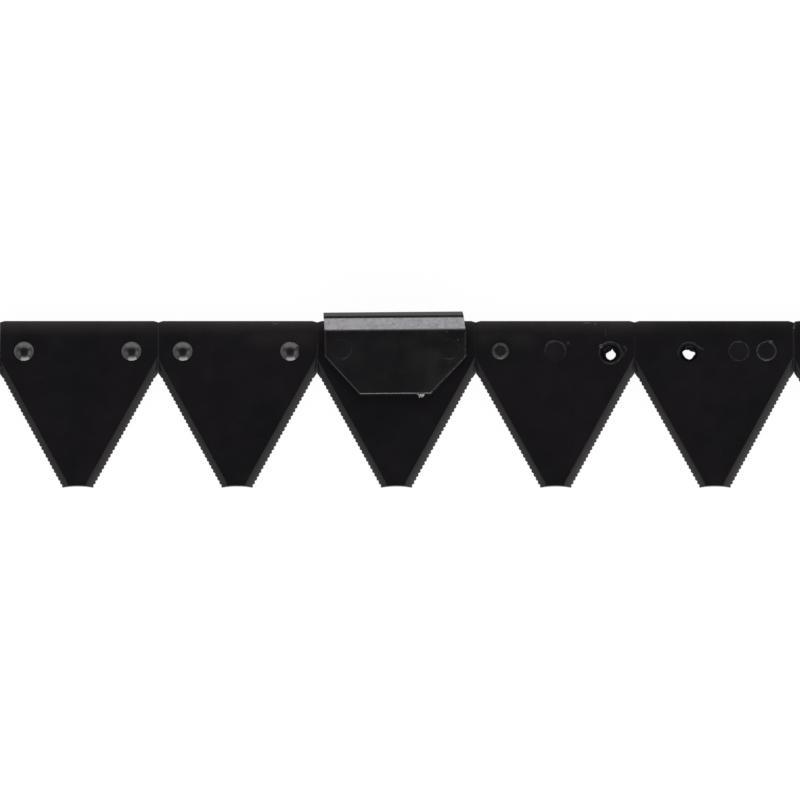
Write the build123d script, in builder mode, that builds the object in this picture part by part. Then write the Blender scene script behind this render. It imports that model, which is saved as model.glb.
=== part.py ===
from build123d import *

import os
from math import atan, cos, hypot, radians, sin, tan

# A length of the riveted knife of a reciprocating mower: a flat steel back, six serrated
# sections side by side on it, a bent guide plate over the third section, and the rivets.
#
# Millimetres, +Z up. X runs along the knife and the tips of the sections point to -Y.
# The underside of the knife back lies on Z = 0. The origin is under the line of rivets,
# half way along the knife.

# The knife as a whole
SECTION_COUNT = 6
PITCH = 76.2                # from one section to the next
SEAM_GAP = 0.06             # left between neighbouring sections
LAST_SET_OVER = 0.3         # the last section stands this much further along

# Section: the pressed triangle
SECTION_THICKNESS = 2.0
SECTION_LENGTH = 81.5       # back edge to tip
SHOULDER_LENGTH = 25.4      # straight side, from the back edge down to the notch
SHOULDER_CUT_ACROSS = 1.25  # corner below the straight side
SHOULDER_CUT_ALONG = 1.8
BACK_CORNER_ACROSS = 2.2    # corner at the back edge
BACK_CORNER_ALONG = 0.7
TIP_WIDTH = 14.6
TIP_HOLLOW = 0.6            # the tip's edge curves in by this much
EDGE_BREAK = 0.25           # worn top edge of the straight sides
ROLL_DEPTH = 0.3            # the top face rolls down by this much at the tip and the back
TIP_ROLL_LENGTH = 3.6
BACK_ROLL_LENGTH = 2.6
RIVET_LINE = 14.9           # back edge to the line of rivets

# Section: the ground bevel and the teeth cut in its underside
BEVEL_LEFT_WIDTH = 3.0
BEVEL_RIGHT_WIDTH = 3.7
EDGE_LAND = 0.25            # height of the cutting edge's upright face
TOOTH_PITCH = 2.117         # twelve teeth to the inch
GROOVE_DEPTH = 0.57         # of a tooth's groove, where it leaves the cutting edge
GROOVE_RUN = 5.0            # length over which a tooth's groove fades out
GROOVE_ANGLE = 132.0
CUTTER_OVERRUN = 1.5        # a cutting tool starts and ends this far outside the steel

# Knife back
BACK_WIDTH = 20.0
BACK_THICKNESS = 6.0
BACK_SETBACK = 3.6          # section's back edge to the knife back's rear edge
BACK_EDGE_CHAMFER = 0.5

# Rivets and their holes
PAIR_SPACING = 51.6         # between the two rivets of a section
PAIR_SHIFT = -0.6           # middle of the pair, from the section's middle
SHANK_DIAMETER = 5.6
HOLE_CLEARANCE = 0.05       # all round a shank or a sunk head
SINK_ANGLE = 90.0           # of a countersink for a rivet's head
TAIL_DIAMETER = 9.0         # sunk head in the underside of the knife back
DOME_DIAMETER = 9.4
DOME_HEIGHT = 2.0
FLUSH_DIAMETER = 9.2
FLUSH_DROP = 0.06           # a flush head lies this far below the surface
RAISED_DIAMETER = 8.8       # a sunk head that stands a little proud, with a sloping rim
RAISED_HEIGHT = 0.35
FLAT_TOP_DIAMETER = 7.8     # a small cone-shaped head, and the flat on its top
FLAT_TOP_FLAT = 5.2
FLAT_TOP_HEIGHT = 1.1
BURR_DIAMETER = 1.3         # nib of metal pressed out beside some heads
BURR_TOP_DIAMETER = 0.7
BURR_HEIGHT = 0.45
BURR_BEARING = 82.0         # its place round the head, from +X

# Holes of the drive head, which bolts on through sections 4 and 5
DRIVE_SECTION = 4
DRIVE_HOLE_OFFSET = 26.4    # first hole, from that section's middle
DRIVE_HOLE_SPACING = 37.8
DRIVE_HOLE_SET_IN = 0.8     # the holes lie this far inside the rivet line
DRIVE_HOLE_DIAMETER = 7.1
DRIVE_SINK_DIAMETER = 10.2
DRIVE_SINK_ANGLE = 60.0     # steeper than under a rivet's head
EXTRA_RIVET_OFFSET = 11.9   # the added rivet of the next section, from its middle

# Guide plate
GUIDED_SECTION = 3
PLATE_THICKNESS = 4.4
PLATE_WIDTH = 67.7
PLATE_OFFSET = -0.6         # plate's middle, from the section's middle
PLATE_TURN = 0.5            # degrees, seen from above
PLATE_REACH = 21.9          # rivet line to the front edge
PLATE_FRONT_WIDTH = 34.0
PLATE_FRONT_SHIFT = -0.15   # middle of the front edge, from the plate's middle
PLATE_LEFT_SIDE = 3.0       # rivet line to the front corner of the left side
PLATE_RIGHT_SIDE = 3.6
PLATE_BEND_LINE = 9.3       # rivet line back to the fold, on the upper face
PLATE_HEAD_DIAMETER = 8.2
PLATE_EDGE_RADIUS = 0.7
FLANGE_ANGLE = 50.0
FLANGE_LENGTH = 8.2         # up the sloping face
FLANGE_BEND_RADIUS = 2.5    # inside the fold
FLANGE_CORNER_RADIUS = 1.2
FLANGE_END_RADIUS = 1.3     # rear corners, seen from above
FLANGE_LEFT_FLARE = 0.5     # each end of the flange leans to the left
FLANGE_RIGHT_TAPER = 1.5

# Levels and lines that follow from those sizes
SECTION_TOP = BACK_THICKNESS + SECTION_THICKNESS
PLATE_TOP = SECTION_TOP + PLATE_THICKNESS
SECTION_WIDTH = PITCH - SEAM_GAP
BACK_EDGE_Y = RIVET_LINE
NOTCH_Y = BACK_EDGE_Y - SHOULDER_LENGTH
TIP_Y = BACK_EDGE_Y - SECTION_LENGTH
BACK_REAR_Y = BACK_EDGE_Y - BACK_SETBACK
PAIR_LEFT = PAIR_SHIFT - PAIR_SPACING / 2
PAIR_RIGHT = PAIR_SHIFT + PAIR_SPACING / 2
SHANK_RADIUS = SHANK_DIAMETER / 2
HOLE_RADIUS = SHANK_RADIUS + HOLE_CLEARANCE
SINK_SLOPE = tan(radians(SINK_ANGLE / 2))


def section_x(number):
    """Middle of a section, along the knife; the first is number 1."""
    middle = (SECTION_COUNT + 1) / 2
    set_over = LAST_SET_OVER if number == SECTION_COUNT else 0.0
    return (number - middle) * PITCH + set_over


def rivets_of(number):
    """Side, distance from the section's middle and head style of each rivet in a section."""
    if number == GUIDED_SECTION:
        return [("left", PAIR_LEFT, "plate"), ("right", PAIR_RIGHT, "plate")]
    if number == DRIVE_SECTION:
        return [("left", PAIR_LEFT, "flat_top"), ("middle", 0.0, "flush")]
    if number == DRIVE_SECTION + 1:
        return [("middle", EXTRA_RIVET_OFFSET, "flush"), ("right", PAIR_RIGHT, "raised_burr")]
    if number == GUIDED_SECTION - 1:
        return [("left", PAIR_LEFT, "dome_burr"), ("right", PAIR_RIGHT, "dome_burr")]
    return [("left", PAIR_LEFT, "dome"), ("right", PAIR_RIGHT, "dome")]


def head_radius(style):
    """Radius of a rivet's upper head, where it meets the surface."""
    diameters = {
        "dome": DOME_DIAMETER,
        "dome_burr": DOME_DIAMETER,
        "flush": FLUSH_DIAMETER,
        "raised_burr": RAISED_DIAMETER,
        "flat_top": FLAT_TOP_DIAMETER,
        "plate": PLATE_HEAD_DIAMETER,
    }
    return diameters[style] / 2


def drive_holes():
    """The two open holes for the drive head, along the knife."""
    first = section_x(DRIVE_SECTION) + DRIVE_HOLE_OFFSET
    return [first, first + DRIVE_HOLE_SPACING]


SUNK_IN_SECTION = ("flush", "raised_burr")
SECTION_NUMBERS = range(1, SECTION_COUNT + 1)
RIVET_XS = [
    section_x(number) + offset
    for number in SECTION_NUMBERS
    for side, offset, style in rivets_of(number)
]

os.makedirs("parts", exist_ok=True)


# Knife back: one flat bar, drilled on the rivet line, with the rivets' sunk heads below
first_end = section_x(1) - SECTION_WIDTH / 2
last_end = section_x(SECTION_COUNT) + SECTION_WIDTH / 2

with BuildPart() as knife_back:
    with BuildSketch(Plane.XY):
        with Locations(((first_end + last_end) / 2, BACK_REAR_Y - BACK_WIDTH / 2)):
            Rectangle(last_end - first_end, BACK_WIDTH)
    extrude(amount=BACK_THICKNESS)
    chamfer(knife_back.edges().filter_by(Axis.X), BACK_EDGE_CHAMFER)
    with Locations(*[Location((x, 0, 0), (180, 0, 0)) for x in RIVET_XS]):
        CounterSinkHole(
            HOLE_RADIUS,
            TAIL_DIAMETER / 2 + HOLE_CLEARANCE,
            counter_sink_angle=SINK_ANGLE,
        )
    with Locations(*[(x, -DRIVE_HOLE_SET_IN, BACK_THICKNESS) for x in drive_holes()]):
        Hole(DRIVE_HOLE_DIAMETER / 2)

knife_back.part.label = "knife_back"
export_step(knife_back.part, "parts/knife_back.step")


# The cutting edge on the right of a section, from its shoulder to the tip
half_width = SECTION_WIDTH / 2
shoulder_x = half_width - SHOULDER_CUT_ACROSS
shoulder_y = NOTCH_Y - SHOULDER_CUT_ALONG
edge_across = TIP_WIDTH / 2 - shoulder_x
edge_along = TIP_Y - shoulder_y
edge_length = hypot(edge_across, edge_along)
EDGE_DIRECTION = Vector(edge_across, edge_along, 0) / edge_length
EDGE_OUTWARD = Vector(-EDGE_DIRECTION.Y, EDGE_DIRECTION.X, 0)
EDGE_START = Vector(shoulder_x, shoulder_y, BACK_THICKNESS)


# Bevel cutter: a long wedge that takes off the steel above the sloping face. It runs on
# past the shoulder to the back of the section, as the grinding wheel does.
def bevel_cutter(bevel_width):
    slope = (SECTION_THICKNESS - EDGE_LAND) / bevel_width
    lead = SHOULDER_LENGTH
    start_plane = Plane(
        EDGE_START - EDGE_DIRECTION * lead,
        x_dir=EDGE_OUTWARD,
        z_dir=EDGE_DIRECTION,
    )
    with BuildPart() as cutter:
        with BuildSketch(start_plane):
            with BuildLine():
                Polyline(
                    (-bevel_width, SECTION_THICKNESS),
                    (CUTTER_OVERRUN, EDGE_LAND - CUTTER_OVERRUN * slope),
                    (lead, EDGE_LAND - CUTTER_OVERRUN * slope),
                    (lead, SECTION_THICKNESS + CUTTER_OVERRUN),
                    (-bevel_width, SECTION_THICKNESS + CUTTER_OVERRUN),
                    close=True,
                )
            make_face()
        extrude(amount=lead + edge_length + bevel_width)
    return cutter.part


# Tooth cutter: a rack of ridges under the cutting edge, square to it, that sinks as it
# goes inwards, so that each groove fades out on the underside
groove_fall = GROOVE_DEPTH / GROOVE_RUN
groove_tilt = atan(groove_fall)
tooth_count = int(edge_length / TOOTH_PITCH)
tooth_start = (edge_length - tooth_count * TOOTH_PITCH) / 2
ridge_top = (GROOVE_DEPTH + CUTTER_OVERRUN * groove_fall) * cos(groove_tilt)
ridge_foot = ridge_top - TOOTH_PITCH / 2 / tan(radians(GROOVE_ANGLE / 2))
rack_length = tooth_count * TOOTH_PITCH
rack_plane = Plane(
    EDGE_START + EDGE_OUTWARD * CUTTER_OVERRUN + EDGE_DIRECTION * tooth_start,
    x_dir=EDGE_DIRECTION,
    z_dir=EDGE_OUTWARD * -cos(groove_tilt) + Vector(0, 0, -sin(groove_tilt)),
)

rack_outline = [(0, -CUTTER_OVERRUN), (0, ridge_foot)]
for tooth in range(tooth_count):
    rack_outline.append(((tooth + 0.5) * TOOTH_PITCH, ridge_top))
    rack_outline.append(((tooth + 1) * TOOTH_PITCH, ridge_foot))
rack_outline.append((rack_length, -CUTTER_OVERRUN))

with BuildPart() as tooth_cutter:
    with BuildSketch(rack_plane):
        with BuildLine():
            Polyline(*rack_outline, close=True)
        make_face()
    extrude(amount=(CUTTER_OVERRUN + GROOVE_RUN + EDGE_BREAK) / cos(groove_tilt))


# Roll cutter: what is missing above a face that rolls down towards an edge at edge_y.
# The inward side is +1 where the face lies towards +Y of that edge, and -1 where not.
def roll_cutter(edge_y, inward, length):
    with BuildPart() as cutter:
        with BuildSketch(Plane.YZ):
            with BuildLine():
                flat_end = (edge_y + inward * length, SECTION_TOP)
                low_end = (edge_y, SECTION_TOP - ROLL_DEPTH)
                far_low = (edge_y - inward * CUTTER_OVERRUN, SECTION_TOP - ROLL_DEPTH)
                far_high = (edge_y - inward * CUTTER_OVERRUN, SECTION_TOP)
                TangentArc(flat_end, low_end, tangent=(-inward, 0))
                Polyline(low_end, far_low, far_high, flat_end)
            make_face()
        extrude(amount=half_width, both=True)
    return cutter.part


# Section blank: pressed outline with rolled and worn upper edges, then ground and cut
with BuildPart() as section_blank:
    with BuildSketch(Plane.XY.offset(BACK_THICKNESS)):
        with BuildLine():
            Polyline(
                (0, BACK_EDGE_Y),
                (half_width - BACK_CORNER_ACROSS, BACK_EDGE_Y),
                (half_width, BACK_EDGE_Y - BACK_CORNER_ALONG),
                (half_width, NOTCH_Y),
                (shoulder_x, shoulder_y),
                (TIP_WIDTH / 2, TIP_Y),
            )
            mirror(about=Plane.YZ)
            ThreePointArc(
                (TIP_WIDTH / 2, TIP_Y),
                (0, TIP_Y + TIP_HOLLOW),
                (-TIP_WIDTH / 2, TIP_Y),
            )
        make_face()
    extrude(amount=SECTION_THICKNESS)
    top_edges = section_blank.faces().sort_by(Axis.Z)[-1].edges()
    straight_sides = top_edges.filter_by(Axis.Y)
    chamfer(straight_sides, EDGE_BREAK)
    add(roll_cutter(BACK_EDGE_Y, -1, BACK_ROLL_LENGTH), mode=Mode.SUBTRACT)
    add(roll_cutter(TIP_Y, 1, TIP_ROLL_LENGTH), mode=Mode.SUBTRACT)
    add(bevel_cutter(BEVEL_RIGHT_WIDTH), mode=Mode.SUBTRACT)
    mirror(bevel_cutter(BEVEL_LEFT_WIDTH), about=Plane.YZ, mode=Mode.SUBTRACT)
    add(tooth_cutter.part, mode=Mode.SUBTRACT)
    mirror(tooth_cutter.part, about=Plane.YZ, mode=Mode.SUBTRACT)


# Sections: each blank set in its place and drilled for its own rivets and bolts
for number in SECTION_NUMBERS:
    middle_x = section_x(number)
    with BuildPart() as section:
        with Locations((middle_x, 0, 0)):
            add(section_blank.part)
        for side, offset, style in rivets_of(number):
            with Locations((middle_x + offset, 0, SECTION_TOP)):
                if style in SUNK_IN_SECTION:
                    CounterSinkHole(
                        HOLE_RADIUS,
                        head_radius(style) + HOLE_CLEARANCE,
                        counter_sink_angle=SINK_ANGLE,
                    )
                else:
                    Hole(HOLE_RADIUS)
        for hole_x in drive_holes():
            if abs(hole_x - middle_x) < half_width:
                with Locations((hole_x, -DRIVE_HOLE_SET_IN, SECTION_TOP)):
                    CounterSinkHole(
                        DRIVE_HOLE_DIAMETER / 2,
                        DRIVE_SINK_DIAMETER / 2,
                        counter_sink_angle=DRIVE_SINK_ANGLE,
                    )
    section.part.label = f"section_{number}"
    export_step(section.part, f"parts/section_{number}.step")


# Guide plate: a bent sheet. Its side view is drawn across the full width, cut to its
# plan, and drilled for the two rivets that also hold the section below.
plate_frame = Plane(
    (section_x(GUIDED_SECTION) + PLATE_OFFSET, 0, SECTION_TOP),
    x_dir=(cos(radians(PLATE_TURN)), sin(radians(PLATE_TURN)), 0),
    z_dir=(0, 0, 1),
)
plate_side_view = Plane(plate_frame.origin, x_dir=plate_frame.y_dir, z_dir=plate_frame.x_dir)
flange_along = Vector(cos(radians(FLANGE_ANGLE)), sin(radians(FLANGE_ANGLE)))
flange_through = Vector(flange_along.Y, -flange_along.X)
fold_outset = PLATE_THICKNESS * tan(radians(FLANGE_ANGLE / 2))
fold_inside = Vector(PLATE_BEND_LINE, PLATE_THICKNESS)
fold_outside = Vector(PLATE_BEND_LINE + fold_outset, 0)
lip_inside = fold_inside + flange_along * FLANGE_LENGTH
lip_outside = lip_inside + flange_through * PLATE_THICKNESS
plate_half = PLATE_WIDTH / 2
plate_front_half = PLATE_FRONT_WIDTH / 2

with BuildPart() as guide_plate:
    with BuildSketch(plate_side_view):
        with BuildLine():
            FilletPolyline(
                (-PLATE_REACH, 0),
                fold_outside,
                lip_outside,
                lip_inside,
                fold_inside,
                (-PLATE_REACH, PLATE_THICKNESS),
                close=True,
                radius=(
                    0,
                    FLANGE_BEND_RADIUS + PLATE_THICKNESS,
                    FLANGE_CORNER_RADIUS,
                    FLANGE_CORNER_RADIUS,
                    FLANGE_BEND_RADIUS,
                    0,
                ),
            )
        make_face()
    extrude(amount=PLATE_WIDTH, both=True)
    with BuildSketch(plate_frame):
        with BuildLine():
            FilletPolyline(
                (PLATE_FRONT_SHIFT - plate_front_half, -PLATE_REACH),
                (PLATE_FRONT_SHIFT + plate_front_half, -PLATE_REACH),
                (plate_half, -PLATE_RIGHT_SIDE),
                (plate_half, PLATE_BEND_LINE),
                (plate_half - FLANGE_RIGHT_TAPER, lip_outside.X),
                (-plate_half - FLANGE_LEFT_FLARE, lip_outside.X),
                (-plate_half, PLATE_BEND_LINE),
                (-plate_half, -PLATE_LEFT_SIDE),
                close=True,
                radius=(0, 0, 0, 0, FLANGE_END_RADIUS, FLANGE_END_RADIUS, 0, 0),
            )
        make_face()
    extrude(amount=PLATE_WIDTH, mode=Mode.INTERSECT)
    upper_face = guide_plate.faces().filter_by(Axis.Z).sort_by(Axis.Z)[-1]
    front_and_slants = upper_face.edges().sort_by(Axis.Y)[:3]
    fillet(front_and_slants, PLATE_EDGE_RADIUS)
    for side, offset, style in rivets_of(GUIDED_SECTION):
        with Locations((section_x(GUIDED_SECTION) + offset, 0, PLATE_TOP)):
            CounterSinkHole(
                HOLE_RADIUS,
                head_radius(style) + HOLE_CLEARANCE,
                counter_sink_angle=SINK_ANGLE,
            )

guide_plate.part.label = "guide_plate"
export_step(guide_plate.part, "parts/guide_plate.step")


# Rivets: each one is turned as a half profile, from the sunk head in the knife back, up
# the shank, to the upper head. Heads differ with the way each rivet was set.
def make_rivet(label, x, style):
    seat = PLATE_TOP if style == "plate" else SECTION_TOP
    rim = head_radius(style)
    sunk = style == "plate" or style in SUNK_IN_SECTION
    neck = seat - (rim - SHANK_RADIUS) / SINK_SLOPE if sunk else seat
    tail_depth = (TAIL_DIAMETER / 2 - SHANK_RADIUS) / SINK_SLOPE
    with BuildPart() as rivet:
        with BuildSketch(Plane((x, 0, 0), x_dir=(1, 0, 0), z_dir=(0, -1, 0))):
            with BuildLine():
                body = [(0, 0), (TAIL_DIAMETER / 2, 0), (SHANK_RADIUS, tail_depth), (SHANK_RADIUS, neck)]
                if style.startswith("dome"):
                    crown = (0, seat + DOME_HEIGHT)
                    Polyline(crown, *body, (rim, seat))
                    TangentArc(crown, (rim, seat), tangent=(1, 0))
                elif style == "raised_burr":
                    top = seat + RAISED_HEIGHT
                    Polyline((0, top), *body, (rim, seat), (rim - RAISED_HEIGHT, top), close=True)
                elif style == "flat_top":
                    top = seat + FLAT_TOP_HEIGHT
                    Polyline((0, top), *body, (rim, seat), (FLAT_TOP_FLAT / 2, top), close=True)
                else:
                    top = seat - FLUSH_DROP
                    Polyline((0, top), *body, (rim - FLUSH_DROP * SINK_SLOPE, top), close=True)
            make_face()
        revolve(axis=Axis((x, 0, 0), (0, 0, 1)))
        if style.endswith("burr"):
            bearing = radians(BURR_BEARING)
            with Locations((x + rim * cos(bearing), rim * sin(bearing), seat)):
                Cone(
                    BURR_DIAMETER / 2,
                    BURR_TOP_DIAMETER / 2,
                    BURR_HEIGHT,
                    align=(Align.CENTER, Align.CENTER, Align.MIN),
                )
    rivet.part.label = label
    export_step(rivet.part, f"parts/{label}.step")


for number in SECTION_NUMBERS:
    for side, offset, style in rivets_of(number):
        make_rivet(f"rivet_{number}_{side}", section_x(number) + offset, style)
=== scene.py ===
# %% [markdown]
# # A riveted mower knife under studio light
#
# The object is a length of the knife of a reciprocating mower: six steel triangles with
# saw-toothed edges, riveted side by side on a flat bar, with a bent guide plate on top of
# one of them. All of it is dipped in thin black paint.
#
# The shapes come from CAD, and this file only dresses them. It sets up the picture, gives
# each surface its finish, and adds the small things that paint and a hammer leave behind.
#
# Blender works in metres. Most lengths here are written in millimetres and multiplied by MM.

import math

import bmesh
import bpy
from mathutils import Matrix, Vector, noise


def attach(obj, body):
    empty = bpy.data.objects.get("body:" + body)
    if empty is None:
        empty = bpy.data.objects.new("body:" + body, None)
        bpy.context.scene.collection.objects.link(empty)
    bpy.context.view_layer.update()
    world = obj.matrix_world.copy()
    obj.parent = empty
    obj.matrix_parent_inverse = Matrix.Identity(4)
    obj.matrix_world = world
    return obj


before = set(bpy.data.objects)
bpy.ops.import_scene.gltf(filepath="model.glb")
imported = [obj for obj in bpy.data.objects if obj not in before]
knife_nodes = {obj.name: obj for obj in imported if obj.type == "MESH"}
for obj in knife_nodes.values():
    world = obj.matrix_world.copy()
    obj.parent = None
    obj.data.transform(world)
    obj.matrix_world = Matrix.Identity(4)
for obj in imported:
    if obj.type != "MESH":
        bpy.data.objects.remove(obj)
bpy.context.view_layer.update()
scene = bpy.context.scene
scene.view_settings.view_transform = "Standard"
MM = 0.001

# %% [markdown]
# ## The camera
#
# A catalogue picture of a long flat thing is taken from above and from far away, so that
# nothing narrows with distance. The camera could be orthographic, but a long lens at four
# metres looks the same and keeps a trace of real perspective. It leans a little towards
# the tips, which shows the sloping flange of the guide plate.

# %% Camera
CAMERA_DISTANCE = 4.0
CAMERA_LEAN = math.radians(12.5)
CAMERA_AIM = Vector((-36.4, -24.05, 8.0)) * MM
VIEW_WIDTH = 0.3834         # what the picture shows from side to side, in metres
SENSOR_WIDTH = 36.0

towards_camera = Vector((0, -math.sin(CAMERA_LEAN), math.cos(CAMERA_LEAN)))
camera_data = bpy.data.cameras.new("camera")
camera_data.sensor_width = SENSOR_WIDTH
camera_data.lens = SENSOR_WIDTH * CAMERA_DISTANCE / VIEW_WIDTH
camera = bpy.data.objects.new("camera", camera_data)
camera.location = CAMERA_AIM + towards_camera * CAMERA_DISTANCE
camera.rotation_euler = (CAMERA_LEAN, 0, 0)
scene.collection.objects.link(camera)
scene.camera = camera
print("camera", round(camera.location.z, 3), "m up, lens", round(camera_data.lens, 1), "mm")

# %% [markdown]
# ## Building a material from nodes
#
# Every finish below is a small network of nodes: a few noises, a range or two, and the main
# shader. Such a network could be drawn by hand in the shader editor. In code it can be read
# like a recipe, if each helper adds one kind of node and hands back the socket that the
# next one needs.

# %% Nodes and links
def add_node(tree, kind, **settings):
    node = tree.nodes.new(kind)
    for name, value in settings.items():
        setattr(node, name, value)
    return node


def feed(tree, socket, value):
    """Links an output to a socket, or sets the socket to a plain value."""
    if isinstance(value, bpy.types.NodeSocket):
        tree.links.new(value, socket)
    else:
        socket.default_value = value


print("nodes can be added and fed")

# %% [markdown]
# The next helpers work on numbers. A noise gives an uneven value at each place, and a range
# picks the part of it that matters. A direction or a place splits into its three axes, so
# that a finish can change along the knife, or only show on faces that look one way.

# %% Noises, ranges and axes
def noise_of(tree, place, scale, detail=3.0, roughness=0.55):
    node = add_node(tree, "ShaderNodeTexNoise")
    feed(tree, node.inputs["Vector"], place)
    node.inputs["Scale"].default_value = scale
    node.inputs["Detail"].default_value = detail
    node.inputs["Roughness"].default_value = roughness
    return node.outputs[0]


def spread(tree, value, from_low, from_high, to_low, to_high):
    """Stretches a range of values onto another, and holds it at both ends."""
    node = add_node(tree, "ShaderNodeMapRange", clamp=True)
    limits = (value, from_low, from_high, to_low, to_high)
    for socket, limit in zip(node.inputs, limits):
        feed(tree, socket, limit)
    return node.outputs[0]


def maths(tree, operation, first, second=0.0):
    node = add_node(tree, "ShaderNodeMath", operation=operation)
    feed(tree, node.inputs[0], first)
    feed(tree, node.inputs[1], second)
    return node.outputs[0]


def product(tree, first, *others):
    for other in others:
        first = maths(tree, "MULTIPLY", first, other)
    return first


def axes_of(tree, vector):
    """The X, Y and Z parts of a place or a direction."""
    node = add_node(tree, "ShaderNodeSeparateXYZ")
    feed(tree, node.inputs[0], vector)
    return node.outputs


def facing_of(tree):
    """The direction that the surface looks in, by axis."""
    return axes_of(tree, add_node(tree, "ShaderNodeNewGeometry").outputs["True Normal"])


print("noises, ranges and axes ready")

# %% [markdown]
# The last helpers mix colours and whole shaders, and turn a height into a bump. A bump only
# bends the light, so it is right for marks of a few hundredths of a millimetre.

# %% Colours, bumps and shaders
def blend_colours(tree, amount, low, high):
    node = add_node(tree, "ShaderNodeMix", data_type="RGBA")
    feed(tree, node.inputs[0], amount)
    for socket, colour in ((node.inputs[6], low), (node.inputs[7], high)):
        is_socket = isinstance(colour, bpy.types.NodeSocket)
        feed(tree, socket, colour if is_socket else (*colour, 1))
    return node.outputs[2]


def bump(tree, height, depth_mm, below=None):
    node = add_node(tree, "ShaderNodeBump")
    node.inputs["Distance"].default_value = depth_mm * MM
    feed(tree, node.inputs["Height"], height)
    if below is not None:
        tree.links.new(below, node.inputs["Normal"])
    return node.outputs[0]


def mix_shaders(tree, amount, first, second):
    node = add_node(tree, "ShaderNodeMixShader")
    for socket, value in zip(node.inputs, (amount, first, second)):
        feed(tree, socket, value)
    return node.outputs[0]


def matt_grey(tree, grey):
    node = add_node(tree, "ShaderNodeBsdfDiffuse")
    node.inputs["Color"].default_value = (grey, grey, grey, 1)
    return node.outputs[0]


print("colours, bumps and shaders ready")

# %% [markdown]
# ## The light
#
# Black gloss paint has hardly any colour of its own. What is seen is the room, mirrored
# in it. In this picture the flat faces mirror a dark ceiling, and the ground edges mirror
# soft light half way up the walls. The fronts of the rivets and the torn front edge of the
# guide plate mirror a large soft panel low in front. So the studio is a dark ceiling over
# white paper, with a soft panel on each of its four sides. The front and back panels have
# a dimmer one above, so that their mirror images fade out instead of ending in a line.
#
# One could light such a thing from above, but then its flat faces would turn grey and the
# edges would be lost. Low panels keep it black. They stay weak enough that the flat faces
# don't burn out when someone looks along them from behind.

# %% Studio panels
AIM_OF_LAMPS = Vector((0, -20, 8)) * MM
PANEL_DISTANCE = 2.0
PANELS = {
    # name: bearing from the front towards the right, height angle, width, height, brightness
    "front_panel": (3, 15, 2.5, 1.15, 2.2),
    "front_fade": (3, 38, 2.4, 0.50, 1.1),
    "back_panel": (180, 27, 3.4, 1.2, 0.50),
    "back_fade": (180, 50, 3.0, 0.50, 0.30),
    "right_panel": (78, 45, 1.3, 0.9, 0.55),
    "left_panel": (-76, 41, 1.1, 1.0, 0.32),
}


def add_panel(name, bearing, rise, width, height, brightness):
    bearing = math.radians(bearing)
    rise = math.radians(rise)
    away = Vector((
        math.sin(bearing) * math.cos(rise),
        -math.cos(bearing) * math.cos(rise),
        math.sin(rise),
    ))
    lamp = bpy.data.lights.new(name, "AREA")
    lamp.shape = "RECTANGLE"
    lamp.size = width
    lamp.size_y = height
    lamp.energy = math.pi * width * height * brightness
    panel = bpy.data.objects.new(name, lamp)
    panel.location = AIM_OF_LAMPS + away * PANEL_DISTANCE
    panel.rotation_euler = away.to_track_quat("Z", "Y").to_euler()
    panel.visible_camera = False
    scene.collection.objects.link(panel)
    print(name, "gives", round(lamp.energy, 1), "W")


for panel_name, sizes in PANELS.items():
    add_panel(panel_name, *sizes)

# %% [markdown]
# ## The room
#
# The walls and the ceiling are never seen themselves, only mirrored in the paint. They
# could be built, but a gradient in the world does the same: nearly as bright as the paper
# at the horizon, and almost black overhead. A camera ray that misses everything sees plain
# white.

# %% Room
ROOM_BY_HEIGHT = [
    # upward part of the direction, brightness
    (0.0, 0.90), (0.10, 0.60), (0.22, 0.42), (0.5, 0.30),
    (0.70, 0.20), (0.84, 0.07), (1.0, 0.03),
]

room = bpy.data.worlds.new("studio_room")
scene.world = room
room.use_nodes = True
room_tree = room.node_tree
room_tree.nodes.clear()
direction = axes_of(room_tree, add_node(room_tree, "ShaderNodeTexCoord").outputs["Generated"])
gradient = add_node(room_tree, "ShaderNodeValToRGB")
feed(room_tree, gradient.inputs[0], direction["Z"])
stops = gradient.color_ramp.elements
while len(stops) < len(ROOM_BY_HEIGHT):
    stops.new(0.5)
for stop, (height, grey) in zip(stops, ROOM_BY_HEIGHT):
    stop.position = height
    stop.color = (grey, grey, grey, 1)
room_light = add_node(room_tree, "ShaderNodeBackground")
feed(room_tree, room_light.inputs["Color"], gradient.outputs[0])
room_white = add_node(room_tree, "ShaderNodeBackground")
room_white.inputs["Color"].default_value = (1, 1, 1, 1)
whole_room = mix_shaders(
    room_tree,
    add_node(room_tree, "ShaderNodeLightPath").outputs["Is Camera Ray"],
    room_light.outputs[0],
    room_white.outputs[0],
)
feed(room_tree, add_node(room_tree, "ShaderNodeOutputWorld").inputs[0], whole_room)
print("the room has", len(stops), "levels of grey")

# %% [markdown]
# ## The paper
#
# The knife lies on white paper. A plain white sheet would need strong lamps to look white,
# and these would grey the knife as well. So for the camera and in reflections the sheet
# glows by itself, and for all other light it is ordinary white paper. A little matt grey
# under the glow still takes the shadow of the knife.

# %% Paper
PAPER_HALF = 5.0
PAPER_LEVEL = -0.1
PAPER_WHITE = 0.8
PAPER_GLOW = 0.95
PAPER_SHADE = 0.14

paper_mesh = bpy.data.meshes.new("paper")
paper_corners = [
    (x * PAPER_HALF, y * PAPER_HALF, PAPER_LEVEL * MM)
    for x, y in ((-1, -1), (1, -1), (1, 1), (-1, 1))
]
paper_mesh.from_pydata(paper_corners, [], [(0, 1, 2, 3)])
paper = bpy.data.objects.new("paper", paper_mesh)
scene.collection.objects.link(paper)

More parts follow.
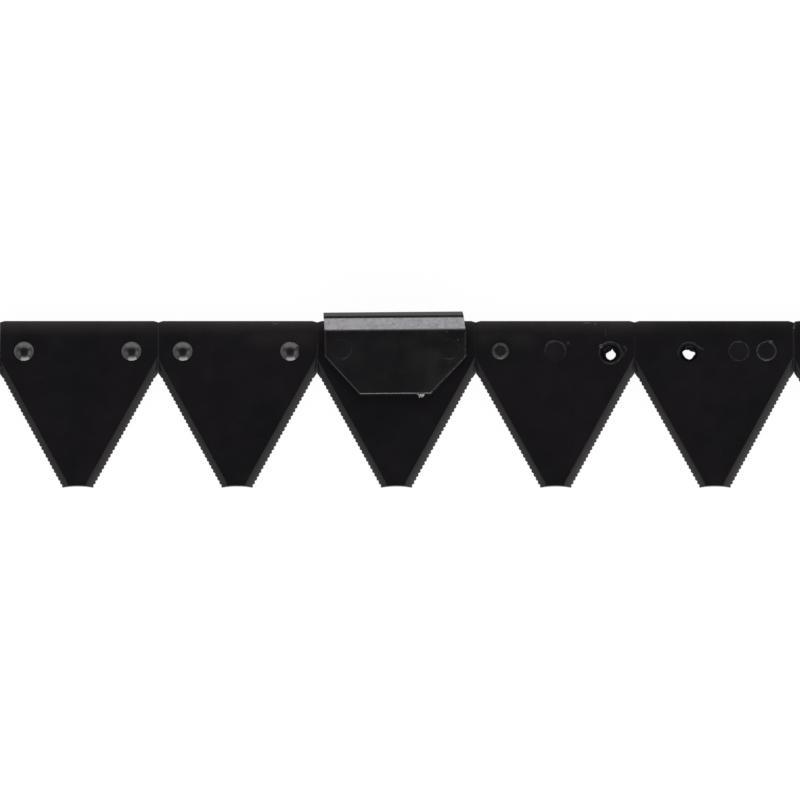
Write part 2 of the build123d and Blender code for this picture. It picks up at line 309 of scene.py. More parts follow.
paper_white = bpy.data.materials.new("paper_white")
paper_white.use_nodes = True
paper_tree = paper_white.node_tree
paper_tree.nodes.clear()
rays = add_node(paper_tree, "ShaderNodeLightPath").outputs
seen = maths(paper_tree, "MAXIMUM", rays["Is Camera Ray"], rays["Is Glossy Ray"])
seen = maths(paper_tree, "MAXIMUM", seen, rays["Is Transmission Ray"])
glow = add_node(paper_tree, "ShaderNodeEmission")
glow.inputs["Strength"].default_value = PAPER_GLOW
glowing_paper = add_node(paper_tree, "ShaderNodeAddShader")
feed(paper_tree, glowing_paper.inputs[0], matt_grey(paper_tree, PAPER_SHADE))
feed(paper_tree, glowing_paper.inputs[1], glow.outputs[0])
whole_paper = mix_shaders(
    paper_tree, seen, matt_grey(paper_tree, PAPER_WHITE), glowing_paper.outputs[0])
feed(paper_tree, add_node(paper_tree, "ShaderNodeOutputMaterial").inputs[0], whole_paper)
paper_mesh.materials.append(paper_white)
print("paper laid,", 2 * PAPER_HALF, "m wide")

# %% [markdown]
# ## Black paint
#
# The knife is dipped, so the paint is thin, even and fairly glossy, with a faint orange
# peel, and a fine grain where the rolled steel shows through. Its black is not one black:
# it drifts between a warm and a cool one over a few centimetres. Dust has settled here
# and there.
#
# One material for the whole knife would be simpler, but each kind of piece was handled in
# its own way, so the recipe takes its gloss, peel and grain as arguments. A last argument
# rounds the sharp CAD edges for the light alone, which draws the thin bright line that a
# sheared and painted edge has.

# %% Paint recipe
WARM_BLACK = (0.0146, 0.0113, 0.0147)
COOL_BLACK = (0.0105, 0.0095, 0.0115)
DUST_GREY = (0.050, 0.046, 0.043)

# scales of the noises, in patches to the metre: 28 is one every 36 mm
BLACK_DRIFT = 28
DUSTY_PATCHES = 60
DUST_FLECKS = 210
RUBBED_PATCHES = 90
ORANGE_PEEL = 620
STEEL_GRAIN = 3600


def paint_base(name, gloss, peel_mm, grain_mm, edge_mm=0.0):
    """A black paint, and what a finish needs to go on from there."""
    paint = bpy.data.materials.new(name)
    paint.use_nodes = True
    tree = paint.node_tree
    place = add_node(tree, "ShaderNodeTexCoord").outputs["Object"]
    drift = spread(tree, noise_of(tree, place, BLACK_DRIFT, detail=4), 0.38, 0.62, 0, 1)
    colour = blend_colours(tree, drift, COOL_BLACK, WARM_BLACK)
    cells = add_node(tree, "ShaderNodeTexVoronoi")
    feed(tree, cells.inputs["Vector"], place)
    cells.inputs["Scale"].default_value = DUST_FLECKS
    flecks = spread(tree, cells.outputs["Distance"], 0.03, 0.07, 1, 0)
    dusty = spread(tree, noise_of(tree, place, DUSTY_PATCHES), 0.56, 0.66, 0, 1)
    colour = blend_colours(tree, product(tree, flecks, dusty), colour, DUST_GREY)
    wear_and_sheen = noise_of(tree, place, RUBBED_PATCHES, detail=5, roughness=0.6)
    polish = spread(tree, wear_and_sheen, 0.3, 0.7, gloss - 0.05, gloss + 0.07)
    edge = None
    if edge_mm:
        rounding = add_node(tree, "ShaderNodeBevel", samples=6)
        rounding.inputs["Radius"].default_value = edge_mm * MM
        edge = rounding.outputs[0]
    peel = bump(tree, noise_of(tree, place, ORANGE_PEEL, detail=2), peel_mm, below=edge)
    grain = bump(tree, noise_of(tree, place, STEEL_GRAIN, detail=2), grain_mm, below=peel)
    return paint, tree, place, colour, polish, grain


def finish_paint(paint, colour, polish, surface, shine=0.5, ior=1.5):
    tree = paint.node_tree
    shader = tree.nodes["Principled BSDF"]
    feed(tree, shader.inputs["Base Color"], colour)
    feed(tree, shader.inputs["Roughness"], polish)
    feed(tree, shader.inputs["Normal"], surface)
    shader.inputs["Specular IOR Level"].default_value = shine
    shader.inputs["IOR"].default_value = ior
    return paint


print("paint recipe ready")

# %% [markdown]
# Four kinds of surface take the recipe as it is. The knife back's paint also covers the
# flush rivet heads and two of the seams. The domed rivets were hammered, and their paint is
# so thin that the steel below adds its own mirror. A metal under a clear coat could show
# that, but a higher refraction index on one shader looks the same and stays simple. The
# guide plate is rubbed and lies half way, and so do the discs over its rivets. The pit
# paint, down in the bolt holes, is matt.

# %% Plain paints
THIN_PAINT_IOR = 2.2
RUBBED_PAINT_IOR = 1.7


def plain_paint(name, gloss, peel_mm, grain_mm, shine=0.5, ior=1.5):
    paint, _, _, colour, polish, surface = paint_base(name, gloss, peel_mm, grain_mm)
    return finish_paint(paint, colour, polish, surface, shine, ior)


back_paint = plain_paint("knife_back_paint", gloss=0.36, peel_mm=0.010, grain_mm=0.004)
rivet_paint = plain_paint(
    "rivet_paint", gloss=0.20, peel_mm=0.018, grain_mm=0.002, ior=THIN_PAINT_IOR)
cover_paint = plain_paint(
    "plate_cover_paint", gloss=0.30, peel_mm=0.016, grain_mm=0.006, ior=RUBBED_PAINT_IOR)
pit_paint = plain_paint("pit_paint", gloss=0.55, peel_mm=0.020, grain_mm=0.006, shine=0.12)
print("plain paints:", back_paint.name, rivet_paint.name, cover_paint.name, pit_paint.name)

# %% [markdown]
# The guide plate has the same paint, but the front of its flange is painted grey, with a touch
# of violet, broken up by fine marks. This grey is a painted reflection: it stands for the
# bright panel in front, mirrored in faces that look forwards and lean half way up. Its front
# edges get the same painted highlight. A mask could be painted by hand, but these faces all
# look forwards and lean about half way between flat and upright, so the direction of the
# surface tells where the grey goes. The left slant, which faces away from the brighter right,
# has almost none. The right half of the flat part is a little cloudy.

# %% Guide plate paint
# painted reflection of the front panel, laid on the flange and the front edges
SHEEN_GREY = (0.328, 0.313, 0.346)
CLOUD_GREY = (0.0240, 0.0215, 0.0240)
FACES_THAT_MIRROR_THE_FRONT = [
    # axis of the surface's direction, from, to, grey at from, grey at to
    ("Z", 0.50, 0.60, 0, 1),
    ("Z", 0.72, 0.80, 1, 0),
    ("Y", -0.30, -0.10, 1, 0),
    ("X", -0.45, -0.20, 0.2, 1),
]
CLOUDS_BEGIN, CLOUDS_FULL = -36, -18

plate_paint, tree, place, colour, polish, surface = paint_base(
    "guide_plate_paint", gloss=0.30, peel_mm=0.016, grain_mm=0.006, edge_mm=0.5)
facing = facing_of(tree)
spot = axes_of(tree, place)
marks = noise_of(tree, place, 460, detail=5, roughness=0.7)
wear_and_sheen = spread(tree, marks, 0.38, 0.62, 0.55, 1)
# mask of the painted reflection: faces that look forwards and lean half way, less on the left
# slant
for axis, *limits in FACES_THAT_MIRROR_THE_FRONT:
    wear_and_sheen = product(tree, wear_and_sheen, spread(tree, facing[axis], *limits))
clouds = spread(tree, noise_of(tree, place, 75, detail=5, roughness=0.6), 0.42, 0.58, 0, 1)
right_half = spread(tree, spot["X"], CLOUDS_BEGIN * MM, CLOUDS_FULL * MM, 0, 1)
colour = blend_colours(tree, product(tree, clouds, right_half), colour, CLOUD_GREY)
colour = blend_colours(tree, wear_and_sheen, colour, SHEEN_GREY)
finish_paint(plate_paint, colour, polish, surface, ior=RUBBED_PAINT_IOR)
print("guide plate paint has", len(tree.nodes), "nodes")

# %% [markdown]
# ## Dusty paint and painted highlights
#
# Some heads, nibs, spots and seams look dull and grey, because dust has stuck in their paint
# while it was wet. The same grey paints also make painted highlights: on the beads along the
# plate's edges, on the rings and arcs round some rivet heads and on the lips and curls of the
# bolt holes, their grey stands for the thin line of light that such an edge catches. Grains
# could be scattered on them, but dust is too fine to be seen one by one. They get the same
# recipe with a rougher surface, and a grey laid over the black by a fine noise. How much grey
# there is differs, so the grey is an argument.

# %% Dusty paints
GREY_SPECK_SCALE = 900


def grey_over_black_paint(name, dust):
    paint, tree, place, colour, polish, surface = paint_base(
        name, gloss=0.42, peel_mm=0.020, grain_mm=0.008)
    cake = spread(tree, noise_of(tree, place, GREY_SPECK_SCALE, detail=4), 0.35, 0.60, 0.2, 1)
    return finish_paint(paint, blend_colours(tree, cake, colour, dust), polish, surface)


dull_paint = grey_over_black_paint("dull_paint", (0.022, 0.020, 0.0215))
# grey for dust, and for painted highlights on edges, arcs, rings and lips
dust_and_highlight_paint = grey_over_black_paint("dust_and_highlight_paint", (0.042, 0.039, 0.041))
# lighter grey: wear on spots and nibs, painted highlight on rings and the right slant
wear_and_highlight_paint = grey_over_black_paint("grey_wear_and_highlight_paint", (0.105, 0.100, 0.103))
print("dusty paints:", dull_paint.name, dust_and_highlight_paint.name, wear_and_highlight_paint.name)

# %% [markdown]
# ## The paint of the sections
#
# The two long edges of a section are ground to a slope after pressing, and the wheel leaves
# fine lines across it. The lines could be cut as geometry, but they are hundredths of a
# millimetre deep, so they are bump: a noise in one direction only, along the cutting edge.
#
# Where the slope is follows from the surface itself: it is where the face looks neither
# straight up nor sideways.

# %% Section paint
EDGE_SLANT = (0.476, 0.879)     # direction of a cutting edge, across and along the section
GRIND_LINES = 2600
GRIND_DEPTH = 0.012
SLOPE_RISES = (0.80, 0.86)      # upward part of the surface's direction
SLOPE_ENDS = (0.93, 0.96)

section_paint, tree, place, colour, polish, surface = paint_base(
    "section_paint", gloss=0.29, peel_mm=0.008, grain_mm=0.004)
facing = facing_of(tree)
spot = axes_of(tree, place)
slope = product(
    tree,
    spread(tree, facing["Z"], *SLOPE_ENDS, 1, 0),
    spread(tree, facing["Z"], *SLOPE_RISES, 0, 1),
)
side = maths(tree, "SIGN", facing["X"])
across = product(tree, spot["X"], side, EDGE_SLANT[0])
along = maths(tree, "SUBTRACT", product(tree, spot["Y"], EDGE_SLANT[1]), across)
wheel_marks = add_node(tree, "ShaderNodeTexNoise", noise_dimensions="1D")
feed(tree, wheel_marks.inputs["W"], along)
wheel_marks.inputs["Scale"].default_value = GRIND_LINES
surface = bump(tree, product(tree, wheel_marks.outputs[0], slope), GRIND_DEPTH, below=surface)
print("grinding lines run along", EDGE_SLANT)

# %% [markdown]
# The ground slope is greyer than the rest, most of all next to the cutting edge, where its
# paint is thin and a little brown. Part of that grey is a painted sheen, which stands for the
# light that a slightly rounded slope would catch from the side panels. How far a point is from
# the cutting edge could be measured along the slope, but its height tells the same. Near the
# notch between two sections the left slope turns black again. The slopes that face right get
# more of the grey than those that face left, and the slopes are also greyer towards the right
# end of the knife: both are painted light, for the brighter panel on the right.

# %% Paint on the slope
SLOPE_FOOT = (0.090, 0.079, 0.083)
SLOPE_HEAD = (0.0165, 0.0146, 0.0158)
FOOT_HEIGHT, HEAD_HEIGHT = 6.25, 7.95
# painted light: the share of grey on slopes that face right and left
RIGHT_GREY_AND_SHEEN = 0.94
LEFT_GREY_AND_SHEEN = 0.58

climb = spread(tree, spot["Z"], FOOT_HEIGHT * MM, HEAD_HEIGHT * MM, 0, 1)
# thin paint and painted sheen together, greyest at the cutting edge
slope_colour = blend_colours(tree, maths(tree, "POWER", climb, 0.8), SLOPE_FOOT, SLOPE_HEAD)
grey_and_sheen = spread(tree, facing["X"], -0.1, 0.1, LEFT_GREY_AND_SHEEN, RIGHT_GREY_AND_SHEEN)
# painted light: the slopes get greyer towards the right end of the knife
sheen_along_knife = spread(tree, spot["X"], -0.2, 0.12, 0.76, 1.22)
patchy = spread(tree, noise_of(tree, place, 120), 0.3, 0.7, 0.8, 1.1)
streaky = spread(tree, wheel_marks.outputs[0], 0.3, 0.7, 0.85, 1.1)
near_notch = blend_colours(
    tree,
    spread(tree, facing["X"], -0.1, 0.1, 0, 1),
    spread(tree, spot["Y"], -32 * MM, -10 * MM, 1, 0.12),
    spread(tree, spot["Y"], -12 * MM, -4 * MM, 1, 0.5),
)
grey_and_sheen = product(tree, grey_and_sheen, sheen_along_knife, patchy, streaky, near_notch)
colour = blend_colours(tree, product(tree, grey_and_sheen, slope), colour, slope_colour)
polish = maths(tree, "ADD", polish, product(tree, slope, 0.10))
print("slope greyness", LEFT_GREY_AND_SHEEN, "left and", RIGHT_GREY_AND_SHEEN, "right")

# %% [markdown]
# Towards its rear edge each section turns lighter and a little brown. This could be one soft
# band, but on the last two sections it is weaker, and two wider places beside the guide plate
# are lighter as well, so the band is bent by where it lies along the knife.

# %% Haze
HAZE = (0.068, 0.061, 0.057)
HAZE_BEGINS, HAZE_FULL = 5.5, 14.6
LAST_SECTIONS = (70, 105)
LAST_SECTIONS_SHARE = 0.22
HAZY_PLACES = ((-106, -78, 0.22), (2, 24, 0.20))    # left, right, strength
HAZE_BORDER = 8

rear = spread(tree, spot["Y"], HAZE_BEGINS * MM, HAZE_FULL * MM, 0, 1)
haze = product(
    tree,
    maths(tree, "POWER", rear, 2.0),
    spread(tree, noise_of(tree, place, 11), 0.4, 0.6, 0.80, 1.1),
    spread(tree, spot["X"], *(x * MM for x in LAST_SECTIONS), 1, LAST_SECTIONS_SHARE),
)
rises = spread(tree, spot["Y"], 0, 6 * MM, 0, 1)
for left, right, strength in HAZY_PLACES:
    begins = spread(tree, spot["X"], (left - HAZE_BORDER) * MM, left * MM, 0, strength)
    ends = spread(tree, spot["X"], right * MM, (right + HAZE_BORDER) * MM, 1, 0)
    haze = maths(tree, "MAXIMUM", haze, product(tree, begins, ends, rises))
colour = blend_colours(tree, haze, colour, HAZE)
finish_paint(section_paint, colour, polish, surface)
print("section paint has", len(tree.nodes), "nodes")

# %% [markdown]
# ## Painting the CAD pieces
#
# Each CAD piece keeps its shape and only changes its material. The pieces could be painted
# one by one, but their names say which kind each is, so the first line of this table that
# fits the start of a name gives its paint.

# %% Paint the pieces
PAINTS = [
    ("section", section_paint),
    ("guide_plate", plate_paint),
    ("rivet_3", plate_paint),       # under the thin discs on the guide plate
    ("rivet_4_left", dull_paint),   # the flat-topped one
    ("rivet_1", rivet_paint),       # the domed ones
    ("rivet_2", rivet_paint),
    ("rivet_6", rivet_paint),
    ("", back_paint),               # the knife back and the flush heads
]

for node_name, piece in knife_nodes.items():
    paint = next(paint for start, paint in PAINTS if node_name.startswith(start))
    for slot in piece.material_slots:
        slot.material = paint
print("painted", len(knife_nodes), "pieces")

# %% [markdown]
# ## Small meshes for dried paint
#
# When a part is hung up to dry, paint gathers where it can't run off. It forms skins in
# holes, thick lips round their rims and drops on flat places. They could be bump, but a
# drop catches light on its side and a skin blocks a hole, so they are meshes.
#
# A drop is a low dome with an uneven outline. Its rings shrink towards the top, and noise
# moves the outline in and out. The noise depends only on the place, so that each run
# gives the same drop.

# %% Dried drops
DROP_AROUND, DROP_LEVELS = 40, 8
DROP_WOBBLE = 0.56          # how far the outline moves in and out
DROP_LUMPS = 1.3            # the higher, the more lumps on the way round
DROP_SUNK = 0.12            # share of its height that lies in the surface


def add_piece(name, shape, paint):
    """Turns a finished shape into a smooth piece that rides on the knife."""
    mesh = bpy.data.meshes.new(name)
    shape.to_mesh(mesh)
    shape.free()
    piece = bpy.data.objects.new(name, mesh)
    scene.collection.objects.link(piece)
    mesh.materials.append(paint)
    for face in mesh.polygons:
        face.use_smooth = True
    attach(piece, "root")


def dried_drop(name, centre, size, turn, seed, paint, slot_name):
    """A low dome of paint: centre and size in millimetres, turn in degrees."""
    centre = Vector(centre)
    turn = math.radians(turn)
    shape = bmesh.new()
    rings = []
    for level in range(DROP_LEVELS):
        rise = level / DROP_LEVELS * math.pi / 2
        ring = []
        for step in range(DROP_AROUND):
            angle = 2 * math.pi * step / DROP_AROUND
            probe = Vector((math.cos(angle) * DROP_LUMPS, math.sin(angle) * DROP_LUMPS, seed))
            reach = 1 + DROP_WOBBLE * noise.noise(probe)
            x = math.cos(angle) * size[0] / 2 * reach * math.cos(rise)
            y = math.sin(angle) * size[1] / 2 * reach * math.cos(rise)
            corner = Vector((
                x * math.cos(turn) - y * math.sin(turn),
                x * math.sin(turn) + y * math.cos(turn),
                size[2] * (math.sin(rise) - DROP_SUNK),
            ))
            ring.append(shape.verts.new((centre + corner) * MM))
        rings.append(ring)
    top = shape.verts.new((centre + Vector((0, 0, size[2] * (1 - DROP_SUNK)))) * MM)
    for lower, upper in zip(rings, rings[1:]):
        for step in range(DROP_AROUND):
            after = (step + 1) % DROP_AROUND
            shape.faces.new((lower[step], lower[after], upper[after], upper[step]))
    for step in range(DROP_AROUND):
        shape.faces.new((rings[-1][step], rings[-1][(step + 1) % DROP_AROUND], top))
    shape.faces.new(list(reversed(rings[0])))
    add_piece(name, shape, paint)


print("a drop has", DROP_AROUND * DROP_LEVELS + 1, "corners")

# %% [markdown]
# ## Beads of paint
#
# In seams and along edges paint dries as a long thin bead. A curve with a round bevel would
# do for a simple one, but these have outlines of their own, which change along the way. So
# a small outline is swept along a line: at each point of the line it gives a ring of
# corners, and faces join each ring to the next. A closed line gives a ring round a head.

# %% Bead maker
UP = Vector((0, 0, 1))


def swept_bead(name, line, outline_at, paint, closed=False):
    """Sweeps an outline along a line of (middle, sideways) pairs, in millimetres."""
    shape = bmesh.new()
    rings = [
        [shape.verts.new((middle + sideways * a + UP * b) * MM) for a, b in outline_at(number)]
        for number, (middle, sideways) in enumerate(line)
    ]
    following = rings[1:] + rings[:1] if closed else rings[1:]
    for here, there in zip(rings, following):
        for turn in range(len(here)):
            after = (turn + 1) % len(here)
            shape.faces.new((here[turn], there[turn], there[after], here[after]))
    if not closed:
        shape.faces.new(list(reversed(rings[0])))
        shape.faces.new(rings[-1])
    bmesh.ops.recalc_face_normals(shape, faces=shape.faces)
    add_piece(name, shape, paint)


print("bead maker ready")

# %% [markdown]
# ## Seams filled with paint
#
# The dip fills the narrow seams between the sections with paint that dries to a shallow
# hollow. A bevel shader could soften the edges, but light would still pass through the seam,
# so each one gets a real bead. The left end of the knife has a narrow one as well, which is
# painted shade: it covers the lit chamfer there, so that the end stays as dark as a seam
# shaded by its neighbour.

# %% Seams
SECTION_TOP = 8.0
SECTION_PITCH = 76.2
SEAM_BACK = 14.0
SEAM_NOTCH = -10.3
SEAM_STEPS = 80
SEAM_SIDES = 0.01           # how far the bead's sides lie below the surface
SEAM_FOOT = 0.2             # the bead narrows to this share of its width
SEAM_FOOT_DEPTH = 0.5       # at this depth below its middle
SEAMS = [
    # name, place along the knife, half width, depth of the middle, seed, paint
    ("seam_1_bead", -2 * SECTION_PITCH, 0.30, 0.12, 3.7, dust_and_highlight_paint),
    ("seam_2_bead", -SECTION_PITCH, 0.30, 0.12, 7.4, dust_and_highlight_paint),
    ("seam_3_bead", 0.0, 0.30, 0.12, 11.1, back_paint),
    ("seam_4_bead", SECTION_PITCH, 0.30, 0.12, 14.8, back_paint),
    ("seam_5_bead", 2 * SECTION_PITCH + 0.15, 0.42, 0.16, 21.3, dull_paint),
    # painted shade: a narrow bead that darkens the lit chamfer at the left end
    ("left_end_shade_bead", -3 * SECTION_PITCH + 0.17, 0.14, 0.03, 30.1, dust_and_highlight_paint),
]


def seam_bead(name, x, half_width, depth, seed, paint):
    sides_at, middle_at = SECTION_TOP - SEAM_SIDES, SECTION_TOP - depth
    line = [
        (Vector((x, SEAM_BACK + (SEAM_NOTCH - SEAM_BACK) * step / SEAM_STEPS, 0)),
         Vector((1, 0, 0)))
        for step in range(SEAM_STEPS + 1)
    ]

    def outline_at(number):
        y = line[number][0].y
        dip = 1 + 0.8 * noise.noise(Vector((seed, y * 0.6, 0)))
        outline = []
        for side in range(-4, 5):
            hollow = (sides_at - middle_at) * dip * (1 - (side / 4) ** 2)
            outline.append((side / 4 * half_width, sides_at - hollow))
        foot, foot_at = half_width * SEAM_FOOT, middle_at - SEAM_FOOT_DEPTH
        return outline + [(foot, foot_at), (-foot, foot_at)]

    swept_bead(name, line, outline_at, paint)


for seam in SEAMS:
    seam_bead(*seam)
print(len(SEAMS), "beads laid in the seams and at the left end")

# %% [markdown]
# ## Paint round the rivet heads
#
# Paint also fills the gap round each flush head and leaves a low ring there. A torus would
# be too even, so these are the same swept beads, bent into a ring and made uneven by noise.
# The ring may be open: on one side of some heads the paint pulled away and left no line.
#
# The shape of the outline decides what is seen. A gentle outer side mirrors the dim rear
# of the room and a steep inner side hides in its own shade, so such a ring shows as an arc
# behind the head. A round one shows all the way.

# %% Ring maker
RING_STEPS = 96


def swollen(outline, swell):
    """Makes an outline wider and higher, but not deeper."""
    return [(across * swell, up * swell if up > 0 else up) for across, up in outline]


def ring_bead(name, x, radius, outline, seed, paint, level=SECTION_TOP, bearings=(0, 360),
              uneven=0.25, y=0.0):
    """A bead round a head: outline in (outwards, up), bearings in degrees from the right."""
    start, end = bearings
    closed = end - start >= 360
    line = []
    for step in range(RING_STEPS if closed else RING_STEPS + 1):
        angle = math.radians(start + (end - start) * step / RING_STEPS)
        outwards = Vector((math.cos(angle), math.sin(angle), 0))
        line.append((Vector((x, y, level)) + outwards * radius, outwards))

    def outline_at(number):
        outwards = line[number][1]
        swell = 1 + uneven * 2 * noise.noise(outwards * 1.6 + Vector((0, 0, seed)))
        if not closed:      # an open ring tapers at both ends
            share = number / RING_STEPS
            swell *= min(1.0, 0.12 + 6 * min(share, 1 - share))
        return swollen(outline, swell)

    swept_bead(name, line, outline_at, paint, closed)


def round_outline(half_width, height, low=-0.12):
    """The upper half of an oval, closed below the surface."""
    arc = [
        (half_width * math.cos(math.pi * step / 8), height * math.sin(math.pi * step / 8))
        for step in range(9)
    ]
    return [(half_width, low), *arc, (-half_width, low)]


print("ring maker ready")

# %% [markdown]
# The small head of section 4 is thickly coated with grey up to its flat top; the grey is a
# painted highlight, for the ring of light on its sloping side. The flush one beside it has its
# gap filled level and an open ring behind, whose grey is a painted highlight as well. The two
# heads of section 5 have a closed ring each, a low one and a thick grey one; the grey of the
# thick one is a painted highlight of the line of light round that head.

# %% Rings on the section rivets
LEFT_RIVET, RIGHT_RIVET = -26.4, 25.2       # of a pair, from the middle of its section
ADDED_RIVET = 11.9
THICK_COAT = [
    (0.85, -0.10), (0.85, 0.05), (0.66, 0.50), (0.34, 0.88),
    (0.0, 1.10), (-0.38, 1.20), (-0.70, 1.14), (-0.72, 0.2),
]
GENTLE_OUTSIDE = [
    (0.75, -0.10), (0.75, 0.0), (0.50, 0.07), (0.20, 0.17),
    (0.0, 0.20), (-0.15, 0.16), (-0.22, 0.0), (-0.24, -0.10),
]


def section_middle(number):
    return (number - 3.5) * SECTION_PITCH


# painted highlight: a grey coat for the ring of light on the small head
ring_bead("rivet_4_left_coat", section_middle(4) + LEFT_RIVET, 3.35, THICK_COAT, 4.4,
          wear_and_highlight_paint, uneven=0.05)
ring_bead("rivet_4_middle_fill", section_middle(4), 4.5, round_outline(0.30, 0.02), 7.1,
          back_paint)
ring_bead("rivet_4_middle_ring", section_middle(4), 4.72, GENTLE_OUTSIDE, 7.7,
          dust_and_highlight_paint, bearings=(-30, 205), uneven=0.4)
ring_bead("rivet_5_middle_ring", section_middle(5) + ADDED_RIVET, 4.68,
          round_outline(0.26, 0.05), 9.1, rivet_paint, uneven=0.4)
# painted highlight: a grey ring for the line of light round the head
ring_bead("rivet_5_right_ring", section_middle(5) + RIGHT_RIVET, 4.50,
          round_outline(0.36, 0.20), 12.5, wear_and_highlight_paint, uneven=0.12)
print("rings laid round four section rivets")

# %% [markdown]
# On the guide plate the rivet heads lie level under the paint, and only part of their rim
# shows. The gap round the CAD head could be bridged by a bead, but its outline would show as a
# full circle. A disc of paint, a few hundredths of a millimetre thick, covers head and gap,
# and an open ring draws the part of the rim that is seen. The ring's grey is a painted
# highlight, for the light that catches that part of the rim.

# %% Discs and arcs on the plate rivets
PLATE_TOP = 12.4
FLUSH_DISC = [
    (4.77, -0.10), (4.77, -0.01), (4.75, 0.01), (4.65, 0.014),
    (4.45, 0.016), (0.30, 0.016), (0.05, 0.016), (0.02, -0.10),
]

for side, offset, seed, shown in (
    ("left", LEFT_RIVET, 14.2, (-95, 15)),
    ("right", RIGHT_RIVET, 16.8, (-120, -60)),
):
    rivet_x = section_middle(3) + offset
    ring_bead(f"rivet_3_{side}_fill", rivet_x, 0.0, FLUSH_DISC, seed, cover_paint,
              level=PLATE_TOP, uneven=0.0)
    # painted highlight: a grey arc for the lit part of the rim
    ring_bead(f"rivet_3_{side}_arc", rivet_x, 4.75, round_outline(0.26, 0.12), seed,
              dust_and_highlight_paint, level=PLATE_TOP, bearings=shown)
print("both plate rivets covered")

# %% [markdown]
# ## Edges of the guide plate
#
# Paint shrinks away from a sharp edge while it is wet and leaves a thin bead just inside it.
# On the plate a light line runs down both sides and, greyer, along the right slant. The beads
# get a grey paint for it, as a painted highlight of the light that these edges catch,
# strongest on the right slant, which faces the brighter side. A line in the material would not
# catch the light, so each is a straight swept bead between two corners of the plate.

# %% Plate edge beads
EDGE_STEPS = 60
# painted highlights: grey beads for the lines of light on the plate's edges
PLATE_EDGES = [
    # name, start, end, half width and height of the bead, paint
    ("plate_left_edge", (-72.25, 8.6), (-72.15, -2.7), 0.36, 0.06, dust_and_highlight_paint),
    ("plate_right_edge", (-5.05, 9.0), (-5.05, -3.0), 0.36, 0.05, dust_and_highlight_paint),
    ("plate_right_slant", (-5.35, -4.0), (-21.6, -21.1), 0.30, 0.06, wear_and_highlight_paint),
]


def edge_bead(name, start, end, half_width, height, paint):
    start, end = Vector((*start, PLATE_TOP)), Vector((*end, PLATE_TOP))
    sideways = (end - start).cross(UP).normalized()
    line = [(start.lerp(end, step / EDGE_STEPS), sideways) for step in range(EDGE_STEPS + 1)]

    def outline_at(number):
        swell = 1 + 0.5 * noise.noise(line[number][0] * 0.7)
        return swollen(round_outline(half_width, height), swell)

    swept_bead(name, line, outline_at, paint)


for edge in PLATE_EDGES:
    edge_bead(*edge)
print(len(PLATE_EDGES), "beads along the plate's edges")

# %% [markdown]
# On the front edge hangs a torn curl, where the sheet was sheared. It leans half way
# between flat and upright, so it mirrors the bright panel in front. It could be pulled out
# of the plate's own mesh, but that belongs to the CAD, so it is one more swept bead, thick
# in the middle and thin at both ends.

# %% Curl on the front edge
CURL_LEFT, CURL_RIGHT = -28.4, -24.4
CURL_EDGE = -21.5
CURL_STEPS = 40
CURL_OUTLINE = [
    (-0.3, -1.3), (-0.3, 0.02), (0.15, 0.03), (0.7, -0.30),
    (1.4, -0.82), (2.1, -1.35), (2.3, -1.85), (1.2, -2.1),
]

curl_line = [
    (Vector((CURL_LEFT + (CURL_RIGHT - CURL_LEFT) * step / CURL_STEPS, CURL_EDGE, PLATE_TOP)),
     Vector((0, -1, 0)))
    for step in range(CURL_STEPS + 1)
]


def curl_outline(number):
    share = number / CURL_STEPS
    ragged = 1 + 0.5 * noise.noise(Vector((share * 5, 2.0, 0)))
    reach = max(0.12, math.sin(math.pi * share) ** 0.5) * ragged
    return [(a * reach if a > 0 else a, b * (0.6 + 0.4 * reach)) for a, b in CURL_OUTLINE]


swept_bead("plate_edge_curl", curl_line, curl_outline, rivet_paint)
print("curl laid,", round(CURL_RIGHT - CURL_LEFT, 1), "mm wide")

# %% [markdown]
# ## The two open bolt holes
#
# The drive head is not fitted, so its two bolt holes are open and the paper shows through
# them. Both are partly closed by a skin of hard paint with a torn edge. A flat disc with a
# hole cut in it would look stamped, so the skin is made of rings that lead from the torn
# edge to the wall of the hole, and it crumples and sags. The torn edge is given as
# distances from the middle at a few bearings, and the rest is filled in between.

# %% Torn edges
# bearing in degrees and distance of the torn edge in millimetres
FIRST_HOLE_TEAR = [
    (-2.8, 2.6), (24.7, 1.9), (52, 2.1), (65, 2.9), (73, 1.2), (148.8, 1.0),
    (175.6, 1.75), (210.6, 2.3), (241.2, 2.85), (268.5, 3.15), (299.8, 2.95), (329.3, 2.85),
]
SECOND_HOLE_TEAR = [
    (4.9, 3.2), (31, 1.6), (66, 1.35), (111, 1.85), (140, 2.5), (168, 3.1),
    (208, 2.55), (249, 2.70), (272, 2.95), (293, 2.85), (329, 2.35),
]


def tear_distance(tear, bearing):
    """The distance at any bearing, filled in between the two nearest given ones."""
    first_bearing, first_distance = tear[0]
    whole_turn = tear + [(first_bearing + 360, first_distance)]
    for (start, near), (end, far) in zip(whole_turn, whole_turn[1:]):
        for turned in (bearing, bearing + 360):
            if start <= turned <= end:
                share = (turned - start) / (end - start)
                return near + (far - near) * share
    return first_distance


print("torn edges given at", len(FIRST_HOLE_TEAR), "and", len(SECOND_HOLE_TEAR), "bearings")

# %% [markdown]
# A skin has an upper and a lower face, a quarter of a millimetre apart, which are joined
# at the torn edge and at the wall.

# %% Paint skins in the bolt holes
FIRST_HOLE_X, SECOND_HOLE_X = 64.5, 102.3
HOLE_LINE = -0.8
HOLE_RADIUS = 3.55
SKIN_AROUND, SKIN_ACROSS = 120, 6
SKIN_LEVEL = 6.4
SKIN_THICKNESS = 0.25
SKIN_MARGIN = 0.15          # the narrowest that a skin gets
SKIN_CRUMPLE = 0.54
SKIN_SAG = 0.5


